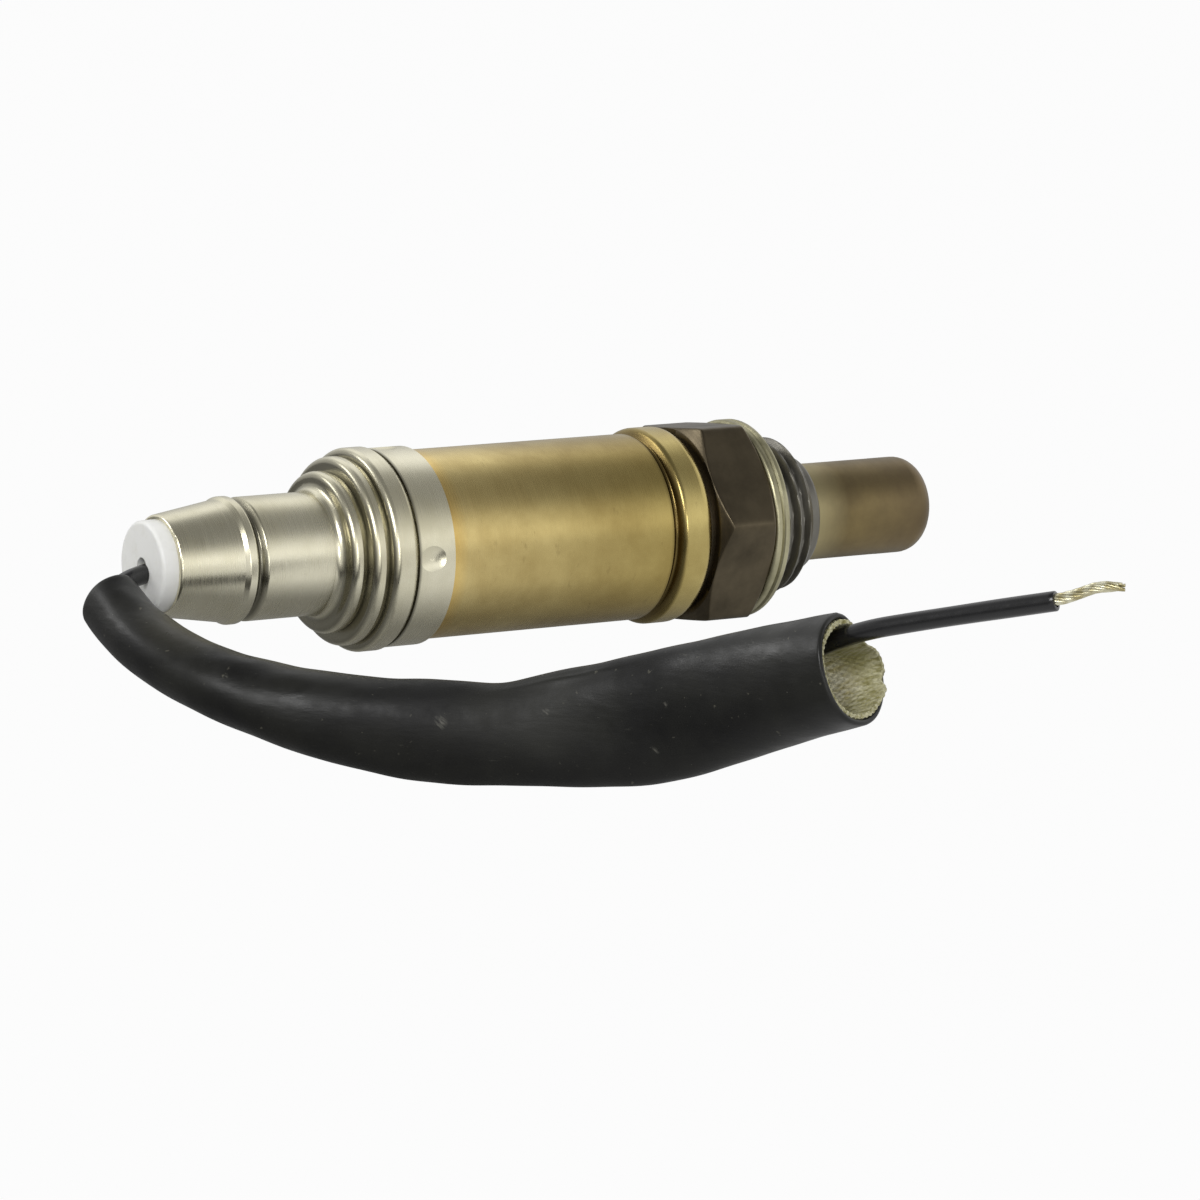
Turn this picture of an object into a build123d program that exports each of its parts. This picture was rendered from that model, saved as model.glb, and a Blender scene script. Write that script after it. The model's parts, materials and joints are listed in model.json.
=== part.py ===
from build123d import *
import math
import os

# Unheated zirconia oxygen sensor with one lead in a lined sleeve. All sizes are in millimetres.
# +X runs along the axis to the sensing tip and +Z is up.
# The origin lies on the axis in the sealing plane, the front face of the captive gasket.
# Values ending in _X are places along the axis, _R radii, _L lengths, and _T wall thicknesses.

SLIDE_FIT = 0.05
WIRE_FIT = 0.03

# Housing: hex, gasket land, thread and nose
HEX_SIDES = 6
HEX_FLATS = 22.0
HEX_L = 7.4
HEX_CHAMFER_ANGLE = 30.0
HEX_TURN = 4.0
GASKET_L = 2.0
GASKET_REACH = 2.4
GASKET_FOLD_R = 0.45
GASKET_GROOVE_L = 0.5
GASKET_GROOVE_DEPTH = 0.3
GASKET_LIP_L = 0.7
GASKET_THREAD_GAP = 0.2
THREAD_R = 9.0
THREAD_L = 5.2
THREAD_CHAMFER = 1.0
UNDERCUT_DEPTH = 0.75
NOSE_STEP = 2.25
NOSE_L = 2.0
NOSE_FILLET = 0.5
NECK_L = 8.4
NECK_CHAMFER = 0.4
FLANGE_SEAT_X = 0.5
HOUSING_WALL = 2.0

# Protection tube with its gas slots
TUBE_FLANGE_W = 1.4
TUBE_FLANGE_T = 0.6
TUBE_T = 0.5
TUBE_OUT_L = 17.1
TUBE_TIP_ROUND = 2.6
SLOT_COUNT = 2
SLOT_ANGLE = 80.0
SLOT_WIDTH = 0.9
SLOT_START_GAP = 2.6
SLOT_END_GAP = 5.5

# Zirconia thimble and what holds it in the bore
SEAT_WASHER_T = 0.6
SEAT_WASHER_GAP = 0.4
COLLAR_GAP = 0.4
COLLAR_STEP = 1.9
COLLAR_FOOT_W = 0.6
COLLAR_CONE_L = 1.6
COLLAR_L = 5.3
CERAMIC_NECK_L = 7.0
CERAMIC_TIP_GAP = 4.7
CERAMIC_TUBE_GAP = 0.8
CERAMIC_TAPER = 1.4
CERAMIC_WALL = 1.2
CERAMIC_TIP_WALL = 1.1
CERAMIC_ROUND_SHARE = 0.9
PACKING_L = 3.6
PACKING_WASHER_T = 0.8

# Inner contact, support ceramic and disc spring
CONTACT_LEG_L = 4.6
CONTACT_LEG_T = 0.6
CONTACT_LEG_SLOTS = 3
CONTACT_LEG_SLOT_WIDTH = 0.9
CONTACT_FLANGE_GAP = 0.3
CONTACT_FLANGE_T = 0.8
CONTACT_STEM_R = 1.2
SUPPORT_STEP_GAP = 0.8
SUPPORT_SHELL_GAP = 1.5
SUPPORT_CHAMFER = 1.2
SUPPORT_NOSE_FIT = 0.1
DISC_SPRING_T = 0.6
DISC_SPRING_H = 1.15
DISC_SPRING_W = 5.6

# Lower shell, the long gold-coloured tube behind the hex
LOWER_SHELL_R = 10.6
LOWER_SHELL_T = 0.5
LOWER_SHELL_SHOWN_L = 30.1
LOWER_SHELL_END_GAP = 0.85
SHELL_HEX_GAP = 0.7
RING_RISE = 0.6
RING_L = 3.9
RING_FRONT_ROUND = 1.3
RING_REAR_ROUND = 0.65
ROLLED_GROOVE_L = 1.3
ROLLED_GROOVE_DEPTH = 0.75
ROLLED_GROOVE_ROUND = 0.3

# Rear shell, the stepped silver tube. Each shoulder ring is (rise over the band, length), from the front.
REAR_SHELL_T = 0.45
BAND_L = 4.5
SHOULDER_RINGS = ((0.25, 3.2), (-0.6, 2.0), (-2.1, 1.9))
SHOULDER_VALLEY_DEPTH = 0.22
SHOULDER_VALLEY_L = 0.7
SHOULDER_ROUND = 0.75
FOOT_ROUND = 1.0
SMALL_TUBE_DROP = 4.25
SMALL_TUBE_L = 9.4
GROOVE_L = 1.4
GROOVE_DEPTH = 0.75
GROOVE_ROUND = 0.3
BEAD_RISE = 0.2
BEAD_L = 0.9
BEAD_SLOPE_L = 0.5
CONE_FRONT_DROP = 0.1
CONE_REAR_DROP = 1.25
CONE_L = 7.3
RIM_ROUND = 0.3

# Staked dimples, pressed through both shells where they overlap
DIMPLE_COUNT = 4
DIMPLE_SETBACK = 2.8
DIMPLE_R = 4.0
DIMPLE_DEPTH = 0.35

# Bushing, inner insulator and crimped terminal
BUSHING_OUT_L = 1.9
BUSHING_EDGE_ROUND = 0.45
BUSHING_TAIL_GAP = 0.5
INSULATOR_GAP = 0.3
FERRULE_FRONT_GAP = 0.6
FERRULE_REAR_GAP = 0.25
FERRULE_WALL = 0.65
FERRULE_STEM_L = 5.0
FERRULE_WIRE_L = 5.0
FERRULE_CRIMP_DEPTH = 0.35
FERRULE_CRIMP_L = 1.6

# Lead and sleeve, with their routes as hand-chosen points
CONDUCTOR_R = 0.6
INSULATION_T = 0.45
STRIPPED_L = 7.0
SLEEVE_R = 4.9
SLEEVE_JACKET_T = 0.7
SLEEVE_LINER_T = 0.8
LINER_OUT_L = 2.0
ARC_SHARE = 0.45
SLEEVE_ROUTE = [
    (-82.6, -1.6, -3.4),
    (-82.4, -5.4, -6.4),
    (-81.4, -10.6, -8.2),
    (-78.0, -17.6, -10.6),
    (-71.2, -25.4, -13.0),
    (-60.4, -35.8, -14.2),
    (-48.8, -46.6, -13.4),
    (-39.6, -57.4, -10.0),
    (-34.2, -69.6, -5.6),
]
LEAD_BEND_X = -81.6
LEAD_END_ROUTE = [
    (-33.6, -69.9, -3.7),
    (-27.0, -79.4, 0.3),
    (-19.9, -89.3, 3.1),
]

# Radii that follow from the thread outward and inward
GASKET_R = THREAD_R + GASKET_REACH
UNDERCUT_R = THREAD_R - UNDERCUT_DEPTH
NOSE_R = THREAD_R - NOSE_STEP
HOUSING_BORE_R = THREAD_R - HOUSING_WALL
TUBE_R = HOUSING_BORE_R - TUBE_FLANGE_W
TUBE_BORE_R = TUBE_R - TUBE_T
CERAMIC_ROOT_R = TUBE_BORE_R - CERAMIC_TUBE_GAP
CERAMIC_TIP_R = CERAMIC_ROOT_R - CERAMIC_TAPER
CERAMIC_MOUTH_BORE_R = CERAMIC_ROOT_R - CERAMIC_WALL
CERAMIC_TIP_BORE_R = CERAMIC_TIP_R - CERAMIC_WALL
SEAT_WASHER_BORE_R = CERAMIC_ROOT_R + SEAT_WASHER_GAP
COLLAR_R = HOUSING_BORE_R - COLLAR_GAP
CERAMIC_NECK_R = COLLAR_R - COLLAR_STEP
CONTACT_FLANGE_R = CERAMIC_NECK_R - CONTACT_FLANGE_GAP

# Radii that follow from the lower shell
LOWER_SHELL_BORE_R = LOWER_SHELL_R - LOWER_SHELL_T
NECK_R = LOWER_SHELL_BORE_R - SLIDE_FIT
SUPPORT_R = LOWER_SHELL_BORE_R - SUPPORT_SHELL_GAP
RING_R = LOWER_SHELL_R + RING_RISE
BAND_BORE_R = LOWER_SHELL_R + SLIDE_FIT
BAND_R = BAND_BORE_R + REAR_SHELL_T
DISC_SPRING_R = BAND_BORE_R - SLIDE_FIT
SMALL_TUBE_R = BAND_R - SMALL_TUBE_DROP
BEAD_R = SMALL_TUBE_R + BEAD_RISE
CONE_FRONT_R = SMALL_TUBE_R - CONE_FRONT_DROP
CONE_REAR_R = SMALL_TUBE_R - CONE_REAR_DROP
SMALL_TUBE_BORE_R = SMALL_TUBE_R - REAR_SHELL_T
CONE_BORE_FRONT_R = CONE_FRONT_R - REAR_SHELL_T
CONE_BORE_REAR_R = CONE_REAR_R - REAR_SHELL_T

# Radii that follow from the wires
LEAD_R = CONDUCTOR_R + INSULATION_T
FERRULE_BORE_R = CONTACT_STEM_R + SLIDE_FIT
FERRULE_R = FERRULE_BORE_R + FERRULE_WALL
INSULATOR_BORE_R = FERRULE_R + INSULATOR_GAP

# Places along the axis, from the sealing plane to the tip
NOSE_END_X = THREAD_L + NOSE_L
TUBE_TIP_X = NOSE_END_X + TUBE_OUT_L
CERAMIC_TIP_X = TUBE_TIP_X - CERAMIC_TIP_GAP

# Places along the axis, from the sealing plane to the bushing
HEX_FRONT_X = -GASKET_L
HEX_REAR_X = HEX_FRONT_X - HEX_L
NECK_REAR_X = HEX_REAR_X - NECK_L
FLANGE_REAR_X = FLANGE_SEAT_X - TUBE_FLANGE_T
CERAMIC_SEAT_X = FLANGE_REAR_X - SEAT_WASHER_T
COLLAR_REAR_X = CERAMIC_SEAT_X - COLLAR_L
CERAMIC_MOUTH_X = COLLAR_REAR_X - CERAMIC_NECK_L
CONTACT_REAR_X = CERAMIC_MOUTH_X - CONTACT_FLANGE_T
PACKING_REAR_X = COLLAR_REAR_X - PACKING_L
SUPPORT_FRONT_X = PACKING_REAR_X - PACKING_WASHER_T
SUPPORT_STEP_X = NECK_REAR_X - SUPPORT_STEP_GAP
RING_FRONT_X = HEX_REAR_X - SHELL_HEX_GAP
RING_REAR_X = RING_FRONT_X - RING_L
BAND_FRONT_X = RING_REAR_X - LOWER_SHELL_SHOWN_L
SHOULDER_FRONT_X = BAND_FRONT_X - BAND_L
SPRING_SEAT_X = SHOULDER_FRONT_X - SHOULDER_RINGS[0][1] + REAR_SHELL_T
LOWER_SHELL_REAR_X = SPRING_SEAT_X + LOWER_SHELL_END_GAP
SUPPORT_REAR_X = SPRING_SEAT_X + DISC_SPRING_H
SMALL_TUBE_FRONT_X = SHOULDER_FRONT_X - sum(length for rise, length in SHOULDER_RINGS)
GROOVE_FRONT_X = SMALL_TUBE_FRONT_X - SMALL_TUBE_L
GROOVE_REAR_X = GROOVE_FRONT_X - GROOVE_L
BEAD_REAR_X = GROOVE_REAR_X - BEAD_L
CONE_FRONT_X = BEAD_REAR_X - BEAD_SLOPE_L
CONE_REAR_X = CONE_FRONT_X - CONE_L
BUSHING_END_X = CONE_REAR_X - BUSHING_OUT_L
INSULATOR_REAR_X = GROOVE_FRONT_X + SLIDE_FIT
INSULATOR_FRONT_X = SMALL_TUBE_FRONT_X + SLIDE_FIT
FERRULE_FRONT_X = SUPPORT_REAR_X - FERRULE_FRONT_GAP
FERRULE_REAR_X = INSULATOR_REAR_X + FERRULE_REAR_GAP
STEM_REAR_X = FERRULE_FRONT_X - FERRULE_STEM_L
WIRE_START_X = FERRULE_REAR_X + FERRULE_WIRE_L


def turned(points, rounds=()):
    """Revolve an outline of (x, radius) points about X, with (point number, radius) roundings."""
    outline = make_face(Polyline(*points, close=True))
    for number, radius in rounds:
        corner = outline.vertices().sort_by_distance((*points[number], 0))[0]
        outline = fillet(corner, radius)
    return revolve(outline, Axis.X)


def ring(x_a, x_b, inner_r, outer_r):
    """Plain ring or, with an inner radius of zero, a plain disc between two places on the axis."""
    return turned([(x_a, inner_r), (x_b, inner_r), (x_b, outer_r), (x_a, outer_r)])


def radial_planes(x, radius, count, first_angle):
    """Planes that touch the cylinder of this radius at x, facing outward, spaced evenly."""
    for number in range(count):
        angle = math.radians(first_angle + 360 * number / count)
        outward = (0, math.cos(angle), math.sin(angle))
        place = (x, radius * outward[1], radius * outward[2])
        yield Plane(origin=place, x_dir=(1, 0, 0), z_dir=outward)


def hex_block():
    """Hexagon with both ends turned to the usual chamfer, its top flat tipped to +Y by the turn."""
    corner_r = HEX_FLATS / 2 / math.cos(math.pi / HEX_SIDES)
    chamfer_l = (corner_r - HEX_FLATS / 2) * math.tan(math.radians(HEX_CHAMFER_ANGLE))
    rear_face = Plane((HEX_REAR_X, 0, 0), x_dir=(0, 1, 0), z_dir=(1, 0, 0))
    block = extrude(rear_face * RegularPolygon(corner_r, HEX_SIDES, rotation=-HEX_TURN), HEX_L)
    turned_blank = turned([
        (HEX_REAR_X, 0), (HEX_FRONT_X, 0), (HEX_FRONT_X, HEX_FLATS / 2),
        (HEX_FRONT_X - chamfer_l, corner_r), (HEX_REAR_X + chamfer_l, corner_r), (HEX_REAR_X, HEX_FLATS / 2),
    ])
    return block & turned_blank


def housing():
    """Steel body: neck, hex, undercut for the gasket, thread blank, nose and stepped bore."""
    outside = turned([
        (NECK_REAR_X, 0), (NECK_REAR_X, NECK_R - NECK_CHAMFER), (NECK_REAR_X + NECK_CHAMFER, NECK_R),
        (HEX_REAR_X, NECK_R), (HEX_REAR_X, UNDERCUT_R), (0, UNDERCUT_R), (0, THREAD_R),
        (THREAD_L - THREAD_CHAMFER, THREAD_R), (THREAD_L, THREAD_R - THREAD_CHAMFER), (THREAD_L, NOSE_R),
        (NOSE_END_X, NOSE_R), (NOSE_END_X, 0),
    ], [(10, NOSE_FILLET)])
    tube_way_r = TUBE_R + SLIDE_FIT
    bore = turned([
        (NECK_REAR_X, 0), (NECK_REAR_X, HOUSING_BORE_R), (FLANGE_SEAT_X, HOUSING_BORE_R),
        (FLANGE_SEAT_X, tube_way_r), (NOSE_END_X, tube_way_r), (NOSE_END_X, 0),
    ])
    return outside + hex_block() - bore - shell_lock_groove()


def shell_lock_groove():
    """Groove round the neck that the lower shell is rolled into."""
    bottom_r = NECK_R - ROLLED_GROOVE_DEPTH
    middle = RING_REAR_X - ROLLED_GROOVE_L / 2
    half = ROLLED_GROOVE_L / 2 + LOWER_SHELL_T
    return ring(middle - half, middle + half, bottom_r, NECK_R + SLIDE_FIT)


def sealing_ring():
    """Folded sheet gasket, captive in the undercut, with a bevelled lip and a groove round its rim."""
    inner_r = UNDERCUT_R + SLIDE_FIT
    gasket = turned([
        (HEX_FRONT_X, inner_r), (-GASKET_LIP_L, inner_r), (0, THREAD_R + GASKET_THREAD_GAP),
        (0, GASKET_R), (HEX_FRONT_X, GASKET_R),
    ], [(3, GASKET_FOLD_R), (4, GASKET_FOLD_R)])
    middle = HEX_FRONT_X / 2
    top_r = GASKET_R + GASKET_GROOVE_DEPTH
    fold = turned([(middle - GASKET_GROOVE_L, top_r), (middle + GASKET_GROOVE_L, top_r),
                   (middle, GASKET_R - GASKET_GROOVE_DEPTH)])
    return gasket - fold


def protection_tube():
    """Deep-drawn cup with a flange at its open end and long gas slots."""
    outer = [(FLANGE_REAR_X, TUBE_BORE_R), (FLANGE_REAR_X, HOUSING_BORE_R - SLIDE_FIT),
             (FLANGE_SEAT_X, HOUSING_BORE_R - SLIDE_FIT), (FLANGE_SEAT_X, TUBE_R), (TUBE_TIP_X, TUBE_R),
             (TUBE_TIP_X, 0), (TUBE_TIP_X - TUBE_T, 0), (TUBE_TIP_X - TUBE_T, TUBE_BORE_R)]
    cup = turned(outer, [(4, TUBE_TIP_ROUND), (7, TUBE_TIP_ROUND - TUBE_T)])
    slot_l = TUBE_OUT_L - SLOT_START_GAP - SLOT_END_GAP
    slot_x = NOSE_END_X + SLOT_START_GAP + slot_l / 2
    for plane in radial_planes(slot_x, TUBE_BORE_R / 2, SLOT_COUNT, SLOT_ANGLE):
        cup -= extrude(plane * SlotOverall(slot_l, SLOT_WIDTH), TUBE_R)
    return cup


def seat_washer():
    return ring(CERAMIC_SEAT_X, FLANGE_REAR_X, SEAT_WASHER_BORE_R, HOUSING_BORE_R - SLIDE_FIT)


def sensor_ceramic():
    """Closed zirconia thimble: tapered sensing end, collar and open neck."""
    bore_end_x = CERAMIC_TIP_X - CERAMIC_TIP_WALL
    body = turned([
        (CERAMIC_MOUTH_X, 0), (CERAMIC_MOUTH_X, CERAMIC_NECK_R), (COLLAR_REAR_X, CERAMIC_NECK_R),
        (COLLAR_REAR_X, COLLAR_R), (CERAMIC_SEAT_X - COLLAR_CONE_L, COLLAR_R),
        (CERAMIC_SEAT_X, SEAT_WASHER_BORE_R + COLLAR_FOOT_W), (CERAMIC_SEAT_X, CERAMIC_ROOT_R),
        (CERAMIC_TIP_X, CERAMIC_TIP_R), (CERAMIC_TIP_X, 0),
    ], [(7, CERAMIC_ROUND_SHARE * CERAMIC_TIP_R)])
    bore = turned([(CERAMIC_MOUTH_X, 0), (CERAMIC_MOUTH_X, CERAMIC_MOUTH_BORE_R),
                   (CERAMIC_SEAT_X, CERAMIC_MOUTH_BORE_R), (bore_end_x, CERAMIC_TIP_BORE_R), (bore_end_x, 0)],
                  [(3, CERAMIC_ROUND_SHARE * CERAMIC_TIP_BORE_R)])
    return body - bore


def powder_packing():
    return ring(PACKING_REAR_X, COLLAR_REAR_X, CERAMIC_NECK_R + SLIDE_FIT, HOUSING_BORE_R - SLIDE_FIT)


def packing_washer():
    return ring(SUPPORT_FRONT_X, PACKING_REAR_X, CERAMIC_NECK_R + SLIDE_FIT, HOUSING_BORE_R - SLIDE_FIT)


def contact_cup():
    """Inner contact: a split collet in the thimble's mouth, a flange and a long stem."""
    leg_r = CERAMIC_MOUTH_BORE_R - SLIDE_FIT
    legs = ring(CERAMIC_MOUTH_X, CERAMIC_MOUTH_X + CONTACT_LEG_L, leg_r - CONTACT_LEG_T, leg_r)
    slot_x = CERAMIC_MOUTH_X + CONTACT_FLANGE_T + CONTACT_LEG_L / 2
    for plane in radial_planes(slot_x, 0, CONTACT_LEG_SLOTS, 90):
        legs -= extrude(plane * Rectangle(CONTACT_LEG_L, CONTACT_LEG_SLOT_WIDTH), CERAMIC_NECK_R)
    flange = ring(CONTACT_REAR_X, CERAMIC_MOUTH_X, 0, CONTACT_FLANGE_R)
    stem = ring(STEM_REAR_X, CONTACT_REAR_X, 0, CONTACT_STEM_R)
    return legs + flange + stem


def support_ceramic():
    """Long insulator that presses on the packing and guides the contact stem."""
    front_r = HOUSING_BORE_R - SUPPORT_NOSE_FIT
    body = turned([
        (SUPPORT_REAR_X, 0), (SUPPORT_REAR_X, SUPPORT_R - SUPPORT_CHAMFER),
        (SUPPORT_REAR_X + SUPPORT_CHAMFER, SUPPORT_R), (SUPPORT_STEP_X, SUPPORT_R),
        (SUPPORT_STEP_X, front_r), (SUPPORT_FRONT_X, front_r), (SUPPORT_FRONT_X, 0),
    ])
    stem_way_r = CONTACT_STEM_R + SLIDE_FIT
    pocket_r = CERAMIC_NECK_R + SLIDE_FIT
    bore = turned([
        (SUPPORT_REAR_X, 0), (SUPPORT_REAR_X, stem_way_r), (CONTACT_REAR_X, stem_way_r),
        (CONTACT_REAR_X, pocket_r), (SUPPORT_FRONT_X, pocket_r), (SUPPORT_FRONT_X, 0),
    ])
    return body - bore


def disc_spring():
    """Coned washer from the support ceramic's end to the shoulder inside the rear shell."""
    bore_r = DISC_SPRING_R - DISC_SPRING_W
    return turned([
        (SUPPORT_REAR_X, bore_r), (SUPPORT_REAR_X - DISC_SPRING_T, bore_r),
        (SPRING_SEAT_X, DISC_SPRING_R), (SPRING_SEAT_X + DISC_SPRING_T, DISC_SPRING_R),
    ])


def stakes(grown):
    """Balls that shape the staked dimples, grown by the walls that they are pressed through."""
    centre_r = BAND_R + DIMPLE_R - DIMPLE_DEPTH
    planes = radial_planes(BAND_FRONT_X - DIMPLE_SETBACK, centre_r, DIMPLE_COUNT, 0)
    return [plane * Sphere(DIMPLE_R + grown) for plane in planes]


def lower_shell():
    """Gold-coloured tube with its rolled lock groove, raised ring and staked dents."""
    groove_r = LOWER_SHELL_R - ROLLED_GROOVE_DEPTH
    groove_x = RING_REAR_X - ROLLED_GROOVE_L
    middle_x = RING_REAR_X - ROLLED_GROOVE_L / 2
    outside = turned([
        (LOWER_SHELL_REAR_X, 0), (LOWER_SHELL_REAR_X, LOWER_SHELL_R), (groove_x, LOWER_SHELL_R),
        (middle_x, groove_r), (RING_REAR_X, RING_R), (RING_FRONT_X, RING_R), (RING_FRONT_X, 0),
    ], [(3, ROLLED_GROOVE_ROUND), (4, RING_REAR_ROUND), (5, RING_FRONT_ROUND)])
    bore = turned([
        (LOWER_SHELL_REAR_X, 0), (LOWER_SHELL_REAR_X, LOWER_SHELL_BORE_R), (groove_x, LOWER_SHELL_BORE_R),
        (middle_x, groove_r - LOWER_SHELL_T), (RING_REAR_X + LOWER_SHELL_T, LOWER_SHELL_BORE_R),
        (RING_FRONT_X, LOWER_SHELL_BORE_R), (RING_FRONT_X, 0),
    ])
    dent = REAR_SHELL_T + SLIDE_FIT
    return outside - stakes(dent) - (bore - stakes(dent + LOWER_SHELL_T))


def rear_shell_outside():
    """Band, three rolled shoulder rings, small tube, rolled groove with its bead, and cone."""
    points = [(BAND_FRONT_X, 0), (BAND_FRONT_X, BAND_R), (SHOULDER_FRONT_X, BAND_R)]
    rounds = []
    front_x = SHOULDER_FRONT_X
    last_r = BAND_R
    for rise, length in SHOULDER_RINGS:
        radius = BAND_R + rise
        valley_r = min(radius, last_r) - SHOULDER_VALLEY_DEPTH
        points += [(front_x, valley_r), (front_x - SHOULDER_VALLEY_L, radius), (front_x - length, radius)]
        rounds.append((len(points) - 1, SHOULDER_ROUND))
        front_x, last_r = front_x - length, radius
    groove_bottom = ((GROOVE_FRONT_X + GROOVE_REAR_X) / 2, SMALL_TUBE_R - GROOVE_DEPTH)
    points += [(SMALL_TUBE_FRONT_X, SMALL_TUBE_R), (GROOVE_FRONT_X, SMALL_TUBE_R), groove_bottom,
               (GROOVE_REAR_X, BEAD_R), (BEAD_REAR_X, BEAD_R), (CONE_FRONT_X, CONE_FRONT_R),
               (CONE_REAR_X, CONE_REAR_R), (CONE_REAR_X, 0)]
    count = len(points)
    rounds += [(count - 8, FOOT_ROUND), (count - 7, GROOVE_ROUND), (count - 6, GROOVE_ROUND),
               (count - 5, GROOVE_ROUND), (count - 4, GROOVE_ROUND), (count - 2, RIM_ROUND)]
    return turned(points, rounds)


def rear_shell_bore():
    """Inside of the rear shell, one wall thickness in from the outside."""
    points = [(BAND_FRONT_X, 0), (BAND_FRONT_X, BAND_BORE_R)]
    step_x, last_r = SPRING_SEAT_X, BAND_BORE_R
    for rise, length in SHOULDER_RINGS[1:]:
        bore_r = BAND_R + rise - REAR_SHELL_T
        points += [(step_x, last_r), (step_x, bore_r)]
        step_x, last_r = step_x - length, bore_r
    groove_bottom = ((GROOVE_FRONT_X + GROOVE_REAR_X) / 2, SMALL_TUBE_BORE_R - GROOVE_DEPTH)
    points += [(step_x, last_r), (step_x, SMALL_TUBE_BORE_R), (GROOVE_FRONT_X, SMALL_TUBE_BORE_R),
               groove_bottom, (GROOVE_REAR_X, CONE_BORE_FRONT_R), (CONE_FRONT_X, CONE_BORE_FRONT_R),
               (CONE_REAR_X, CONE_BORE_REAR_R), (CONE_REAR_X, 0)]
    return turned(points)


def rear_shell():
    """Stepped silver shell, staked to the lower shell by round dimples."""
    return rear_shell_outside() - (rear_shell_bore() - stakes(REAR_SHELL_T)) - stakes(0)


def cone_bore_r(x):
    """Radius of the shell's conical bore at x."""
    share = (x - CONE_REAR_X) / (CONE_FRONT_X - CONE_REAR_X)
    return CONE_BORE_REAR_R + share * (CONE_BORE_FRONT_R - CONE_BORE_REAR_R)


def bushing():
    """White tapered bushing that fills the cone and stands out of the rim."""
    front_x = GROOVE_REAR_X - BUSHING_TAIL_GAP
    front_r = cone_bore_r(min(front_x, CONE_FRONT_X)) - SLIDE_FIT
    rim_r = CONE_BORE_REAR_R - SLIDE_FIT
    body = turned([(BUSHING_END_X, 0), (BUSHING_END_X, rim_r), (CONE_REAR_X, rim_r),
                   (min(front_x, CONE_FRONT_X), front_r), (front_x, front_r), (front_x, 0)],
                  [(1, BUSHING_EDGE_ROUND)])
    return body - ring(BUSHING_END_X, front_x, 0, LEAD_R + WIRE_FIT)


def insulating_sleeve():
    """Thick plastic tube round the crimped terminal."""
    return ring(INSULATOR_REAR_X, INSULATOR_FRONT_X, INSULATOR_BORE_R, SMALL_TUBE_BORE_R - SLIDE_FIT)


def terminal_ferrule():
    """Tube crimped on the contact stem at one end and on the lead's strands at the other."""
    body = ring(FERRULE_REAR_X, FERRULE_FRONT_X, 0, FERRULE_R)
    stem_bore = ring(STEM_REAR_X, FERRULE_FRONT_X, 0, FERRULE_BORE_R)
    wire_bore = ring(FERRULE_REAR_X, WIRE_START_X, 0, CONDUCTOR_R + SLIDE_FIT)
    crimp_r = FERRULE_R - FERRULE_CRIMP_DEPTH
    crimp_xs = [(FERRULE_FRONT_X + STEM_REAR_X) / 2, (FERRULE_REAR_X + WIRE_START_X) / 2]
    for x in crimp_xs:
        body -= ring(x - FERRULE_CRIMP_L / 2, x + FERRULE_CRIMP_L / 2, crimp_r, FERRULE_R)
    return body - stem_bore - wire_bore


def lead_points(start_x, extra_l):
    """Route of the lead from its place in the ferrule to its end, longer by extra_l."""
    points = [Vector(start_x, 0, 0), Vector(LEAD_BEND_X, 0, 0)]
    points += [Vector(*point) for point in SLEEVE_ROUTE[1:-1] + LEAD_END_ROUTE]
    points[-1] += (points[-1] - points[-2]).normalized() * extra_l
    return points


def sleeve_points(extra_l):
    """Route of the sleeve, longer by extra_l at its open mouth."""
    points = [Vector(*point) for point in SLEEVE_ROUTE]
    points[-1] += (points[-1] - points[-2]).normalized() * extra_l
    return points


def rounded_path(points):
    """Straight runs joined by tangent arcs, each as large as its two runs allow."""
    radii = []
    for before, corner, after in zip(points, points[1:], points[2:]):
        half_turn = math.radians((corner - before).get_angle(after - corner) / 2)
        shorter_run = min((corner - before).length, (after - corner).length)
        radii.append(ARC_SHARE * shorter_run / math.tan(half_turn))
    return FilletPolyline(*points, radius=radii), radii


def cord_tube(label, points, outer_r, inner_r=0):
    """Plain round tube, or a solid core, along a route; prints its radii and its volume test."""
    path, radii = rounded_path(points)
    section = Circle(outer_r)
    area = math.pi * (outer_r**2 - inner_r**2)
    if inner_r:
        section -= Circle(inner_r)
    tube = sweep(Plane(origin=path @ 0, z_dir=path % 0) * section, path=path)
    print(label, "length", round(path.length, 1), "radii", [round(radius, 1) for radius in radii],
          "volume share", round(tube.volume / (area * path.length), 4))
    return tube


def lead_insulation():
    points = lead_points(FERRULE_REAR_X - SLIDE_FIT, 0)
    return cord_tube("lead insulation", points, LEAD_R, CONDUCTOR_R + SLIDE_FIT)


def lead_conductor():
    return cord_tube("lead conductor", lead_points(WIRE_START_X - SLIDE_FIT, STRIPPED_L), CONDUCTOR_R)


def sleeve_jacket():
    return cord_tube("sleeve jacket", sleeve_points(0), SLEEVE_R, SLEEVE_R - SLEEVE_JACKET_T)


def sleeve_liner():
    outer_r = SLEEVE_R - SLEEVE_JACKET_T - SLIDE_FIT
    return cord_tube("sleeve liner", sleeve_points(LINER_OUT_L), outer_r, outer_r - SLEEVE_LINER_T)


PIECES = [
    housing, sealing_ring, protection_tube, seat_washer, sensor_ceramic, powder_packing, packing_washer,
    contact_cup, support_ceramic, disc_spring, lower_shell, rear_shell, terminal_ferrule, insulating_sleeve,
    bushing, lead_insulation, lead_conductor, sleeve_jacket, sleeve_liner,
]

os.makedirs("parts", exist_ok=True)
for piece in PIECES:
    export_step(piece(), f"parts/{piece.__name__}.step")
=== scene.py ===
import json
import math
import random

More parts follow.
